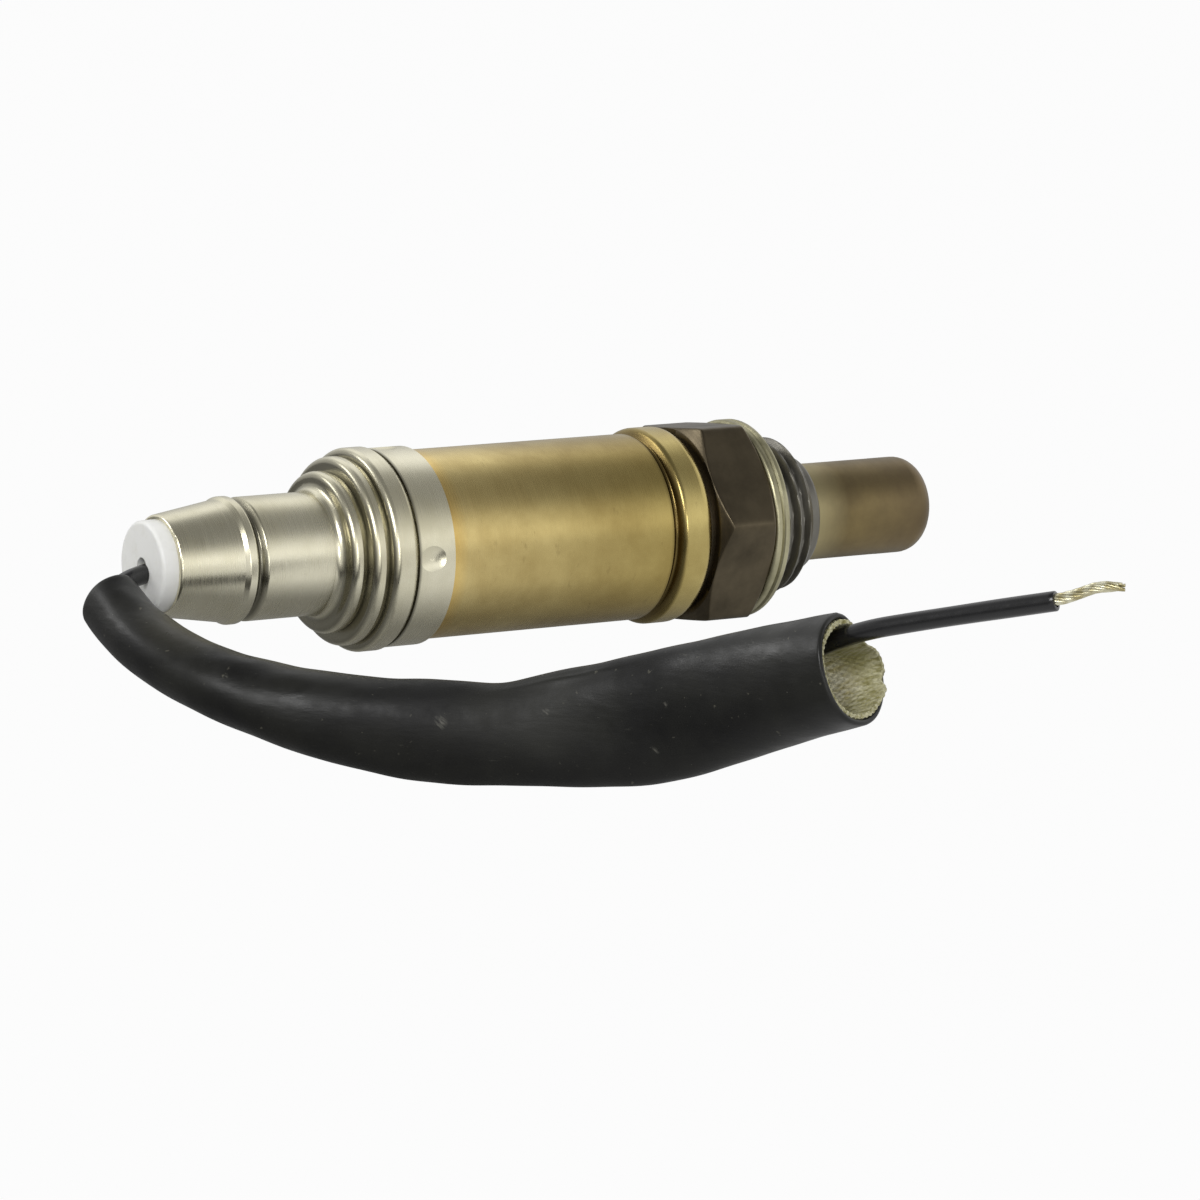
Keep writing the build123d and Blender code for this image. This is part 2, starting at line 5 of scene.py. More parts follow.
import bpy
import numpy as np
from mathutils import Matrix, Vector


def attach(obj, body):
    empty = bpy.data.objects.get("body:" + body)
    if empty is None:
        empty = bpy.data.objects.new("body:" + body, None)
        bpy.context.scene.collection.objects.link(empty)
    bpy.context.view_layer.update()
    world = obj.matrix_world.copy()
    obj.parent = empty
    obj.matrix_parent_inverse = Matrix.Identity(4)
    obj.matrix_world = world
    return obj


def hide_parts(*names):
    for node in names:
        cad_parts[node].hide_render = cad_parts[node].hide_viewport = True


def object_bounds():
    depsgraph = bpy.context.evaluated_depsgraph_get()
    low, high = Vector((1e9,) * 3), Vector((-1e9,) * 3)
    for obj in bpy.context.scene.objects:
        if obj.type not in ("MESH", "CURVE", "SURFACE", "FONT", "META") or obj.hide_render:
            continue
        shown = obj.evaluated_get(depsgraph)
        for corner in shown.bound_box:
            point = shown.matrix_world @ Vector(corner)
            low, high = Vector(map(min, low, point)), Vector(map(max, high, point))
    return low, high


# Looks of an exhaust oxygen sensor with one lead in a lined sleeve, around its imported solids.
# The frame is that of the solids: +X along the axis to the sensing tip, +Z up, in metres.
# Values and tables whose names end in _MM are in millimetres, and MM turns them into metres.
MM = 0.001
SEED = 7

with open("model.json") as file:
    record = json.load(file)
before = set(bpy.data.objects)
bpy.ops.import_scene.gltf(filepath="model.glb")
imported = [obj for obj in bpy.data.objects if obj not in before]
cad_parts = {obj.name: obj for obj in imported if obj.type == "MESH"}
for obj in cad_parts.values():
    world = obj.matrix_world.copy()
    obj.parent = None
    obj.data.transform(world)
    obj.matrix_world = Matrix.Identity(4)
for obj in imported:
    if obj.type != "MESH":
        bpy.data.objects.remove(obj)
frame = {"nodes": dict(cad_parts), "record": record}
CAD_BOX = [list(corner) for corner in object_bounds()]

# Camera
CAMERA_PLACE_MM = (-375.5, -575.2, 92.4)
CAMERA_AZIMUTH = math.radians(31.82)
CAMERA_ELEVATION = math.radians(8.45)
CAMERA_LENS = 180.47

# Lead and sleeve: given points of their routes
LEAD_START_MM = (-64.85, 0.0, 0.0)
LEAD_BEND_MM = (-81.2, 0.0, 0.0)
SLEEVE_ROUTE_MM = [
    (-82.0, -1.6, -3.0),
    (-81.8, -5.4, -5.2),
    (-81.0, -10.6, -7.3),
    (-78.0, -17.6, -10.1),
    (-71.2, -25.4, -13.0),
    (-60.4, -35.8, -14.5),
    (-48.8, -46.6, -13.8),
    (-39.6, -57.4, -10.0),
    (-33.0, -72.3, -5.0),
]
LEAD_END_MM = [
    (-34.2, -70.2, -1.8),
    (-27.0, -79.4, 0.75),
    (-19.9, -89.3, 3.1),
]
STRANDS_END_MM = [
    (-18.4, -91.6, 4.1),
    (-17.4, -93.2, 4.9),
    (-15.6, -95.2, 5.0),
]
LEAD_R_MM = 1.05
JACKET_T_MM = 0.7
LINER_T_MM = 0.42
LINER_GAP_MM = 0.05

# The sleeve is pressed oval: (share of its length, half height, half depth), from the sensor's end
SLEEVE_OVALS_MM = [
    (0.00, 3.6, 3.2),
    (0.10, 3.5, 3.8),
    (0.23, 3.8, 4.6),
    (0.33, 4.6, 4.8),
    (0.45, 5.4, 4.2),
    (0.58, 5.9, 3.6),
    (0.72, 6.9, 3.1),
    (0.86, 6.5, 4.2),
    (1.00, 6.0, 5.8),
]


# Nodes: each function adds one node to a tree. It works on values or on the outputs of other nodes.


def feed(tree, socket, value):
    """Joins an output to a socket, or sets the socket to a value."""
    if isinstance(value, bpy.types.NodeSocket):
        tree.links.new(value, socket)
    else:
        socket.default_value = value


def math_node(tree, operation, first, second):
    made = tree.nodes.new("ShaderNodeMath")
    made.operation = operation
    feed(tree, made.inputs[0], first)
    feed(tree, made.inputs[1], second)
    return made.outputs[0]


def vector_node(tree, operation, first, second):
    """Number that two vectors give, such as their distance."""
    made = tree.nodes.new("ShaderNodeVectorMath")
    made.operation = operation
    feed(tree, made.inputs[0], first)
    feed(tree, made.inputs[1], second)
    return made.outputs["Value"]


def range_node(tree, value, low, high, to_low, to_high):
    """Number that goes from to_low to to_high while the value goes from low to high."""
    made = tree.nodes.new("ShaderNodeMapRange")
    for number, given in enumerate((value, low, high, to_low, to_high)):
        feed(tree, made.inputs[number], given)
    return made.outputs["Result"]


def mix_node(tree, share, first, second, blend="MIX"):
    made = tree.nodes.new("ShaderNodeMix")
    made.data_type = "RGBA"
    made.blend_type = blend
    for number, given in ((0, share), (6, first), (7, second)):
        feed(tree, made.inputs[number], given)
    return made.outputs[2]


def ramp_node(tree, value, stops):
    """Grey that follows a value through a list of (value, light)."""
    made = tree.nodes.new("ShaderNodeValToRGB")
    tree.links.new(value, made.inputs[0])
    elements = made.color_ramp.elements
    for number, (place, light) in enumerate(stops):
        element = elements[number] if number < 2 else elements.new(place)
        element.position = place
        element.color = (light, light, light, 1.0)
    return made.outputs["Color"]


# Materials

FINE_BUMP_MM = 0.05
SCUFF_CORE = 0.2
SHOULDER_VALLEYS_MM = (-48.6, -51.8, -53.8, -55.7)
SILVER_GROOVE_MM = -65.8
GOLD_GROOVE_MM = -14.65
MOUTH_TOWARDS = (0.384, -0.868, 0.313)
SLEEVE_SCRATCHES_TOWARDS = (0.8, -0.6, 0.25)
SLEEVE_SCUFFS_TOWARDS = (0.55, -0.46, -0.70)
# Centre of the sleeve's painted sheen
SLEEVE_PAINTED_SHEEN_MM = (-77.3, -13.0, -4.4)
SLEEVE_DULL_MM = (-60.0, -38.0, -10.0)
# Centres of the liner's painted light and painted shade
LINER_PAINTED_LIGHT_MM = (-30.8, -66.0, -7.9)
LINER_PAINTED_SHADE_MM = (-31.1, -69.0, -4.6)

# Scuffs of the sleeve: place and size
SLEEVE_SCUFFS_MM = (
    ((-78.9, -22.4, -8.6), 0.4),
    ((-62.6, -39.2, -12.7), 0.9),
    ((-53.9, -46.1, -11.4), 0.5),
    ((-45.5, -56.1, -10.0), 0.45),
    ((-45.7, -54.6, -14.9), 0.6),
)


def srgb(red, green, blue):
    """Linear colour, with alpha, of a screen colour given in 0 to 255."""
    def linear(value):
        value /= 255
        return value / 12.92 if value <= 0.04045 else ((value + 0.055) / 1.055) ** 2.4
    return (linear(red), linear(green), linear(blue), 1.0)


class Finish:
    """One procedural material: a Principled shader and short calls for the nodes round it."""

    def __init__(self, name, metallic=0.0, roughness=0.5):
        self.material = bpy.data.materials.new(name)
        self.material.use_nodes = True
        self.tree = self.material.node_tree
        self.shader = self.tree.nodes["Principled BSDF"]
        self.set(Metallic=metallic, Roughness=roughness)
        self.coordinates = self.node("ShaderNodeTexCoord").outputs["Object"]

    def set(self, **values):
        for name, value in values.items():
            self.shader.inputs[name.replace("_", " ")].default_value = value

    def node(self, kind, **values):
        """New node, with values for its sockets or its other settings."""
        made = self.tree.nodes.new(kind)
        for name, value in values.items():
            if name in made.inputs:
                made.inputs[name].default_value = value
            else:
                setattr(made, name, value)
        return made

    def join(self, output, target):
        self.tree.links.new(output, target)

    def millimetres(self, scale=(1, 1, 1)):
        """Object coordinates in millimetres, times one factor for each axis."""
        mapping = self.node("ShaderNodeMapping", Scale=[value / MM for value in scale])
        self.join(self.coordinates, mapping.inputs["Vector"])
        return mapping.outputs["Vector"]

    def noise(self, scale, detail=3.0, rough=0.5):
        """Noise between 0 and 1, with about one blob for each 1/scale millimetres.

        The scale is one number, or one for each axis.
        """
        texture = self.node("ShaderNodeTexNoise", Scale=1.0, Detail=detail, Roughness=rough)
        scales = scale if isinstance(scale, tuple) else (scale, scale, scale)
        self.join(self.millimetres(scales), texture.inputs["Vector"])
        return texture.outputs["Fac"]

    def streaks(self, along, length_mm, width_mm, detail=4.0, rough=0.6):
        """Noise between 0 and 1 that is drawn out along a direction."""
        scale = [length_mm * MM, width_mm * MM, width_mm * MM]
        mapping = self.node("ShaderNodeMapping", vector_type="TEXTURE", Scale=scale)
        turn = Vector(along).to_track_quat("X", "Z").to_euler()
        mapping.inputs["Rotation"].default_value = turn
        self.join(self.coordinates, mapping.inputs["Vector"])
        texture = self.node("ShaderNodeTexNoise", Scale=1.0, Detail=detail, Roughness=rough)
        self.join(mapping.outputs["Vector"], texture.inputs["Vector"])
        return texture.outputs["Fac"]

    def place_x(self):
        """Place along the sensor's axis, in millimetres."""
        split = self.node("ShaderNodeSeparateXYZ")
        self.join(self.millimetres(), split.inputs["Vector"])
        return split.outputs["X"]

    def math(self, operation, first, second):
        return math_node(self.tree, operation, first, second)

    def greatest(self, values):
        total, *others = values
        for value in others:
            total = self.math("MAXIMUM", total, value)
        return total

    def ranged(self, value, low, high, to_low=0.0, to_high=1.0):
        return range_node(self.tree, value, low, high, to_low, to_high)

    def near_places(self, places, core_mm, edge_mm, most=1.0):
        """The most close to any of some places along the sensor's axis, and 0 from edge_mm on."""
        along = self.place_x()
        gaps = [self.math("ABSOLUTE", self.math("SUBTRACT", along, place), 0.0) for place in places]
        return self.greatest([self.ranged(gap, core_mm, edge_mm, most, 0.0) for gap in gaps])

    def near_point(self, place_mm, core_mm, edge_mm, most=1.0):
        """The most close to a point, and 0 from edge_mm on."""
        gap = vector_node(self.tree, "DISTANCE", self.millimetres(), place_mm)
        return self.ranged(gap, core_mm, edge_mm, most, 0.0)

    def mixed(self, share, first, second):
        """Colour that goes from first to second."""
        return mix_node(self.tree, share, first, second)

    def tinted_along(self, color, tints):
        """Colour with tints along the sensor's axis.

        A tint has two places in millimetres, its share at the first and the second, and its colour.
        """
        along = self.place_x()
        for first, second, at_first, at_second, tint in tints:
            color = self.mixed(self.ranged(along, first, second, at_first, at_second), color, tint)
        return color

    @property
    def base(self):
        """Output that gives the base colour so far."""
        return self.shader.inputs["Base Color"].links[0].from_socket

    def color(self, value):
        self.join(value, self.shader.inputs["Base Color"])

    def roughness(self, value):
        self.join(value, self.shader.inputs["Roughness"])

    def bump(self, height, strength, distance_mm):
        """Adds a bump on top of the bumps that were added before."""
        made = self.node("ShaderNodeBump", Strength=strength, Distance=distance_mm * MM)
        self.join(height, made.inputs["Height"])
        normal = self.shader.inputs["Normal"]
        if normal.links:
            self.join(normal.links[0].from_socket, made.inputs["Normal"])
        self.join(made.outputs["Normal"], normal)


def turned_metal(name, light, dark, rough, ring_bump, grain_bump, patch=0.09):
    """Metal with lathe rings round X, fine grain, and patches of a second colour."""
    made = Finish(name, metallic=1.0)
    patches = made.noise(patch, detail=5.0, rough=0.62)
    made.color(made.mixed(made.ranged(patches, 0.36, 0.68), light, dark))
    rings = made.noise((9.0, 0.12, 0.12), detail=2.0)
    grain = made.noise(11.0, detail=2.0)
    halves = [made.math("MULTIPLY", pattern, 0.5) for pattern in (rings, patches)]
    uneven = made.math("ADD", *halves)
    made.roughness(made.ranged(uneven, 0.3, 0.7, rough - 0.05, rough + 0.09))
    made.bump(rings, ring_bump, FINE_BUMP_MM)
    made.bump(grain, grain_bump, FINE_BUMP_MM)
    return made


def silver_shell():
    """Silver tube with painted shade in its rolled groove and between its shoulder rings."""
    light, dark, painted_shade = srgb(236, 231, 207), srgb(212, 206, 178), srgb(104, 101, 88)
    made = turned_metal("silver_shell", light, dark, rough=0.25, ring_bump=0.06, grain_bump=0.08)
    # Painted shade: the colour is darkened in the rolled groove and in the valleys between the
    # shoulder rings.
    between = made.near_places(SHOULDER_VALLEYS_MM, 0.08, 0.36, most=0.75)
    groove = made.near_places([SILVER_GROOVE_MM], 0.35, 0.85, most=0.85)
    made.color(made.mixed(groove, made.mixed(between, made.base, painted_shade), painted_shade))
    return made.material


def gold_shell():
    """Gold-coloured tube with painted shade at its groove, and a lighter ring after it.

    The ring's lighter colour is a painted highlight. By the silver band a warm tint is partly a
    painted reflection of the band.
    """
    pale, plain, warm = srgb(230, 209, 146), srgb(196, 176, 116), srgb(180, 160, 98)
    ring, orange = srgb(202, 184, 120), srgb(236, 200, 116)
    painted_shade, wear_and_painted_light = srgb(88, 72, 42), srgb(120, 100, 62)
    clean, dulled = srgb(255, 255, 255), srgb(214, 208, 196)
    made = turned_metal("gold_shell", clean, dulled, rough=0.25, ring_bump=0.06, grain_bump=0.06)
    along = made.tinted_along(pale, (
        (-44.0, -28.0, 0.0, 1.0, plain),
        (-28.0, -16.0, 0.0, 1.0, warm),
        # Painted highlight: the raised ring is lightened.
        (GOLD_GROOVE_MM, GOLD_GROOVE_MM + 1.0, 0.0, 1.0, ring),
        # Warm tint by the silver band, partly a painted reflection of the band.
        (-44.1, -42.0, 0.8, 0.0, orange),
    ))
    # Painted shade: the colour darkens at the groove.
    along = made.mixed(made.near_places([GOLD_GROOVE_MM], 0.35, 1.0, most=0.8), along, painted_shade)
    marks = made.noise((0.9, 0.35, 0.35), detail=6.0, rough=0.7)
    along = made.mixed(made.ranged(marks, 0.62, 0.75, to_high=0.35), along, wear_and_painted_light)
    made.color(mix_node(made.tree, 1.0, along, made.base, "MULTIPLY"))
    return made.material


def heat_tinted_steel():
    """Hex and neck, browned by heat; the thread and nose in front of the gasket are slate grey."""
    light, dark = srgb(96, 87, 70), srgb(71, 64, 51)
    made = turned_metal(
        "heat_tinted_steel", light, dark, rough=0.36, ring_bump=0.06, grain_bump=0.10, patch=0.14)
    slate = made.mixed(made.noise(0.5, detail=4.0), srgb(136, 133, 124), srgb(102, 100, 95))
    made.color(made.tinted_along(made.base, [(-1.6, -0.8, 0.0, 1.0, slate)]))
    return made.material


def gasket_steel():
    light, dark = srgb(185, 180, 149), srgb(135, 131, 104)
    made = turned_metal(
        "gasket_steel", light, dark, rough=0.38, ring_bump=0.05, grain_bump=0.15, patch=0.2)
    return made.material


def tube_steel():
    """Drawn tube with heat tints that go from gold to grey-brown along it."""
    light, dark = srgb(138, 122, 82), srgb(108, 95, 66)
    made = turned_metal(
        "tube_steel", light, dark, rough=0.40, ring_bump=0.10, grain_bump=0.08, patch=0.12)
    made.color(made.tinted_along(made.base, (
        (9.0, 24.0, 0.0, 0.6, srgb(112, 97, 78)),
        (7.0, 12.0, 0.75, 0.0, srgb(178, 168, 130)),
    )))
    return made.material


def inner_steel():
    light, dark = srgb(190, 190, 186), srgb(160, 158, 152)
    made = turned_metal("inner_steel", light, dark, rough=0.33, ring_bump=0.08, grain_bump=0.08)
    return made.material


def fired_ceramic(name, light, dark, rough):
    """Chalky ceramic with fine pores."""
    made = Finish(name, roughness=rough)
    made.color(made.mixed(made.noise(0.4, detail=5.0), light, dark))
    made.bump(made.noise(7.0), 0.2, FINE_BUMP_MM)
    return made.material


def zirconia():
    return fired_ceramic("zirconia", srgb(240, 236, 224), srgb(222, 216, 200), 0.5)


def powder():
    return fired_ceramic("powder", srgb(226, 220, 206), srgb(198, 190, 172), 0.9)


def support_ceramic():
    return fired_ceramic("support_ceramic", srgb(242, 240, 234), srgb(228, 224, 214), 0.6)


def white_plastic():
    """Waxy white plastic of the bushing, a little dirty and faintly turned."""
    made = Finish("white_plastic", roughness=0.4)
    soil_and_painted_shade = made.ranged(made.noise(0.5, detail=6.0, rough=0.65), 0.5, 0.8, to_high=0.5)
    made.color(made.mixed(soil_and_painted_shade, srgb(247, 247, 243), srgb(226, 225, 215)))
    made.roughness(made.ranged(made.noise(1.5), 0.3, 0.7, 0.34, 0.5))
    made.bump(made.noise((6.0, 0.3, 0.3), detail=2.0), 0.1, FINE_BUMP_MM)
    made.set(Subsurface_Weight=0.15, Subsurface_Scale=1.0)
    made.set(Subsurface_Radius=(0.0012, 0.0012, 0.0011))
    return made.material


def lead_black():
    """Glossy black insulation with faint marks of handling."""
    made = Finish("lead_black", roughness=0.2)
    made.color(made.mixed(made.noise(0.8, detail=4.0), srgb(11, 11, 12), srgb(21, 21, 23)))
    handled = made.noise(1.2, detail=5.0, rough=0.65)
    made.roughness(made.ranged(handled, 0.35, 0.7, 0.14, 0.3))
    made.bump(made.noise(2.2), 0.12, FINE_BUMP_MM)
    made.set(Coat_Weight=0.2, Coat_Roughness=0.1)
    return made.material


def sleeve_black():
    """Satin black jacket with specks, grazes, scratches and a few scuffs, and soft dents.

    A painted sheen lightens its upper side near the sensor's end.
    """
    made = Finish("sleeve_black", roughness=0.4)
    broad = made.ranged(made.noise(0.10, detail=4.0), 0.35, 0.65)
    marked = made.mixed(broad, srgb(18, 18, 17), srgb(34, 34, 30))
    specks = made.noise(1.3)
    marked = made.mixed(made.ranged(specks, 0.70, 0.76, to_high=0.3), marked, srgb(126, 123, 108))
    grazes = made.noise((0.5, 0.5, 1.6), detail=7.0, rough=0.75)
    marked = made.mixed(made.ranged(grazes, 0.63, 0.78, to_high=0.35), marked, srgb(104, 103, 94))
    lines = made.streaks(SLEEVE_SCRATCHES_TOWARDS, 7.0, 0.16, detail=2.0)
    marked = made.mixed(made.ranged(lines, 0.74, 0.80, to_high=0.4), marked, srgb(150, 148, 136))
    # Painted sheen: an olive patch that stands for the metal's reflection near the sensor's end.
    painted_sheen = made.near_point(SLEEVE_PAINTED_SHEEN_MM, 1.5, 7.0, most=0.4)
    marked = made.mixed(painted_sheen, marked, srgb(98, 95, 80))
    torn = made.streaks(SLEEVE_SCUFFS_TOWARDS, 1.6, 0.28, detail=2.0)
    spots = [made.near_point(place, SCUFF_CORE * size, size) for place, size in SLEEVE_SCUFFS_MM]
    torn_share = made.ranged(torn, 0.44, 0.66, to_high=0.5)
    scuffs = made.math("MULTIPLY", made.greatest(spots), torn_share)
    made.color(made.mixed(scuffs, marked, srgb(132, 130, 120)))
    satin = made.ranged(made.noise(0.35, detail=5.0, rough=0.6), 0.3, 0.7, 0.27, 0.46)
    made.roughness(made.math("ADD", satin, made.near_point(SLEEVE_DULL_MM, 6.0, 20.0, most=0.2)))
    made.bump(made.noise((0.3, 0.3, 1.1), detail=4.0), 0.22, 0.25)
    made.bump(made.noise(4.5), 0.1, 0.06)
    made.set(Specular_IOR_Level=0.33)
    return made.material


def woven_liner():
    """Cream glass-fibre yarn: light streaks that run along the sleeve, with olive shade between.

    Deep in the mouth the yarn is lightened as painted light, and under the lead it is darkened as
    painted shade.
    """
    made = Finish("woven_liner", roughness=0.75)
    yarns = made.streaks(MOUTH_TOWARDS, 2.2, 0.42)
    fibres = made.streaks(MOUTH_TOWARDS, 0.9, 0.09, detail=3.0)
    # Painted light lightens the yarn deep in the mouth; painted shade darkens it under the lead.
    wear_and_painted_light = made.near_point(LINER_PAINTED_LIGHT_MM, 1.8, 4.2)
    soil_and_painted_shade = made.near_point(LINER_PAINTED_SHADE_MM, 0.8, 3.0)
    light = made.mixed(wear_and_painted_light, srgb(216, 212, 176), srgb(255, 251, 226))
    light = made.mixed(soil_and_painted_shade, light, srgb(160, 154, 104))
    shade = made.mixed(wear_and_painted_light, srgb(150, 144, 92), srgb(204, 194, 144))
    shaded = made.mixed(made.ranged(yarns, 0.38, 0.58), shade, light)
    made.color(made.mixed(made.ranged(fibres, 0.42, 0.66, to_high=0.4), shaded, shade))
    made.bump(yarns, 0.8, 0.3)
    made.bump(fibres, 0.5, 0.1)
    made.set(Sheen_Weight=0.2, Sheen_Roughness=0.4)
    return made.material


def bare_strands():
    """Plated strands, straw-coloured where the plating has dulled."""
    made = Finish("bare_strands", metallic=1.0)
    dulled = made.ranged(made.noise(0.9, detail=4.0), 0.38, 0.66)
    made.color(made.mixed(dulled, srgb(224, 221, 196), srgb(176, 166, 124)))
    made.roughness(made.ranged(made.noise(3.0), 0.3, 0.7, 0.26, 0.44))
    return made.material


FINISHES = {make.__name__: make() for make in (
    silver_shell, gold_shell, heat_tinted_steel, gasket_steel, tube_steel, inner_steel, zirconia,
    powder, support_ceramic, white_plastic, lead_black, sleeve_black, woven_liner, bare_strands,
)}


# Stage, light and camera

FLOOR_DROP = 0.028
FLOOR_SIZE = 30.0
FLOOR_COLOR = (0.26, 0.26, 0.26, 1.0)
FLOOR_ROUGHNESS = 0.9
FLOOR_SEEN = 0.965
FLOOR_MIRRORED = 0.68
FLOOR_LIGHT_TOWARDS = (1.0, -1.2, 0.0)
FLOOR_LIGHT_REACH = (-0.02, 0.06)

# Studio: the light from a direction is the product of ramps over its nearness to other directions.
# They are the walls, a dark patch overhead, the dimmer side at the left and the dimmer far wall.
STUDIO_LIGHT = (
    ((0.0, 0.0, 1.0), ((0.0, 0.80), (0.10, 1.02), (0.24, 1.10), (0.38, 0.92), (0.60, 1.05))),
    ((0.0, -0.292, 0.956), ((0.56, 1.0), (0.68, 0.80), (0.77, 0.38), (0.84, 0.25), (1.0, 0.20))),
    ((-1.0, 0.0, 0.0), ((0.0, 1.0), (0.35, 0.82), (1.0, 0.45))),
    ((0.35, 0.93, 0.1), ((0.70, 1.0), (0.82, 0.90), (0.94, 0.72), (1.0, 0.45))),
)

# Lamps: name, place, point that each is aimed at, size and power
LAMPS = (
    ("key", (-0.75, -0.55, 0.55), (-0.03, 0.0, 0.0), (0.35, 0.35), 4.0),
    ("front", (-0.25, -1.0, 0.12), (-0.03, -0.07, 0.0), (0.25, 0.25), 1.1),
    ("back", (-0.78, 0.63, 0.60), (-0.05, -0.06, 0.0), (0.4, 0.3), 2.0),
)


def new_object(name, data):
    made = bpy.data.objects.new(name, data)
    bpy.context.scene.collection.objects.link(made)
    return made


def aim(made, place, ahead):
    """Puts a camera or lamp at a place, facing along a direction."""
    made.location = place
    made.rotation_mode = "QUATERNION"
    made.rotation_quaternion = ahead.to_track_quat("-Z", "Y")


def camera():
    data = bpy.data.cameras.new("camera")
    data.sensor_fit = "HORIZONTAL"
    data.sensor_width = 36.0
    data.lens = CAMERA_LENS
    data.clip_start = 0.01
    data.clip_end = 100.0
    flat = math.cos(CAMERA_ELEVATION)
    ahead_x, ahead_y = math.sin(CAMERA_AZIMUTH) * flat, math.cos(CAMERA_AZIMUTH) * flat
    made = new_object("camera", data)
    ahead = Vector((ahead_x, ahead_y, -math.sin(CAMERA_ELEVATION)))
    aim(made, Vector(CAMERA_PLACE_MM) * MM, ahead)
    bpy.context.scene.camera = made


def lamp(name, place, target, size, power):
    """Soft rectangular lamp, aimed at a point."""
    data = bpy.data.lights.new(name, "AREA")
    data.shape = "RECTANGLE"
    data.size, data.size_y = size
    data.energy = power
    aim(new_object(name, data), place, Vector(target) - Vector(place))


def studio():
    """A plain room that the world's colour stands for."""
    world = bpy.data.worlds.new("studio")
    bpy.context.scene.world = world
    world.use_nodes = True
    tree = world.node_tree
    direction = tree.nodes.new("ShaderNodeTexCoord").outputs["Generated"]
    light, *others = (
        ramp_node(tree, vector_node(tree, "DOT_PRODUCT", direction, towards), stops)
        for towards, stops in STUDIO_LIGHT
    )
    for ramp in others:
        light = mix_node(tree, 1.0, light, ramp, "MULTIPLY")
    tree.links.new(light, tree.nodes["Background"].inputs["Color"])


def floor_glow(tree):
    """Share of plain white in the floor: high for the camera, less for what mirrors the floor.

    Mirrored, the floor shows painted light, bright at the front right, where the light comes from,
    and painted shade behind the part.
    """
    path = tree.nodes.new("ShaderNodeLightPath").outputs
    place = tree.nodes.new("ShaderNodeTexCoord").outputs["Object"]
    # Painted light and shade on the floor, seen only in reflections.
    towards_light = vector_node(tree, "DOT_PRODUCT", place, FLOOR_LIGHT_TOWARDS)
    painted_glow = range_node(tree, towards_light, *FLOOR_LIGHT_REACH, 0.0, FLOOR_MIRRORED)
    mirror = math_node(tree, "MAXIMUM", path["Is Glossy Ray"], path["Is Transmission Ray"])
    mirrored = math_node(tree, "MULTIPLY", mirror, painted_glow)
    seen = math_node(tree, "MULTIPLY", path["Is Camera Ray"], FLOOR_SEEN)
    return math_node(tree, "ADD", mirrored, seen)


def floor():
    """Pale floor below the part that the camera sees almost white, with the part's shadow on it."""
    height = CAD_BOX[0][2] - FLOOR_DROP
    half = FLOOR_SIZE / 2
    corners = [(x * half, y * half, height) for x, y in ((-1, -1), (1, -1), (1, 1), (-1, 1))]
    mesh = bpy.data.meshes.new("floor")
    mesh.from_pydata(corners, [], [(0, 1, 2, 3)])
    material = bpy.data.materials.new("floor")
    material.use_nodes = True
    tree = material.node_tree
    shader = tree.nodes["Principled BSDF"]
    shader.inputs["Base Color"].default_value = FLOOR_COLOR
    shader.inputs["Roughness"].default_value = FLOOR_ROUGHNESS
    glow = tree.nodes.new("ShaderNodeEmission")
    mix = tree.nodes.new("ShaderNodeMixShader")
    for output, socket in zip((floor_glow(tree), shader.outputs[0], glow.outputs[0]), mix.inputs):
        tree.links.new(output, socket)
    tree.links.new(mix.outputs[0], tree.nodes["Material Output"].inputs["Surface"])
    mesh.materials.append(material)
    new_object("floor", mesh)


camera()
studio()
floor()
for row in LAMPS:
    lamp(*row)


# Meshes

SHARP_ANGLE = math.radians(40.0)


def place_piece(name, points, faces, slot_name, sharp_angle=SHARP_ANGLE):
    """Mesh object from points in millimetres, with its finish, riding on the one body."""
    mesh = bpy.data.meshes.new(name)
    mesh.from_pydata((np.asarray(points) * MM).tolist(), [], faces)
    mesh.validate()
    mesh.shade_smooth()
    mesh.set_sharp_from_angle(angle=sharp_angle)
    mesh.materials.append(FINISHES[slot_name])
    piece = new_object(name, mesh)
    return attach(piece, "root")


def ring_faces(rows, around, closed, start=0):
    """Quads over a grid of rings; a closed grid joins its last ring to its first."""
    faces = []
    for row in range(rows if closed else rows - 1):
        a, b = start + row * around, start + (row + 1) % rows * around
        for column in range(around):
            after = (column + 1) % around
            faces.append((a + column, b + column, b + after, a + after))
    return faces


def capped_faces(rows, around, start=0):
    """Quads over an open grid of rings, with a flat cap on each end."""
    last = start + (rows - 1) * around
    caps = [tuple(range(start, start + around)), tuple(range(last + around - 1, last - 1, -1))]
    return ring_faces(rows, around, False, start) + caps


def ring_angles(sides):
    return np.linspace(0, 2 * math.pi, sides, endpoint=False)


def rings_round(middles, up, side, radii, sides):
    """Rings of points round middles; up and side are the directions across each of them."""
    angles = ring_angles(sides)[None, :, None]
    outward = np.cos(angles) * up[:, None, :] + np.sin(angles) * side[:, None, :]
    return middles[:, None, :] + np.reshape(radii, (-1, 1, 1)) * outward


def bell(value, middle, width):
    """1 at the middle, falling off to both sides."""
    return np.exp(-(((value - middle) / width) ** 2))


def waves(seed, count, lowest, highest):
    """Smooth seeded wobble: a sum of sines, about between -1 and 1."""
    draw = random.Random(seed)
    parts = [(draw.uniform(lowest, highest), draw.uniform(0, 2 * math.pi)) for _ in range(count)]

    def value(place):
        return sum(np.sin(rate * place + phase) for rate, phase in parts) / math.sqrt(count)
    return value


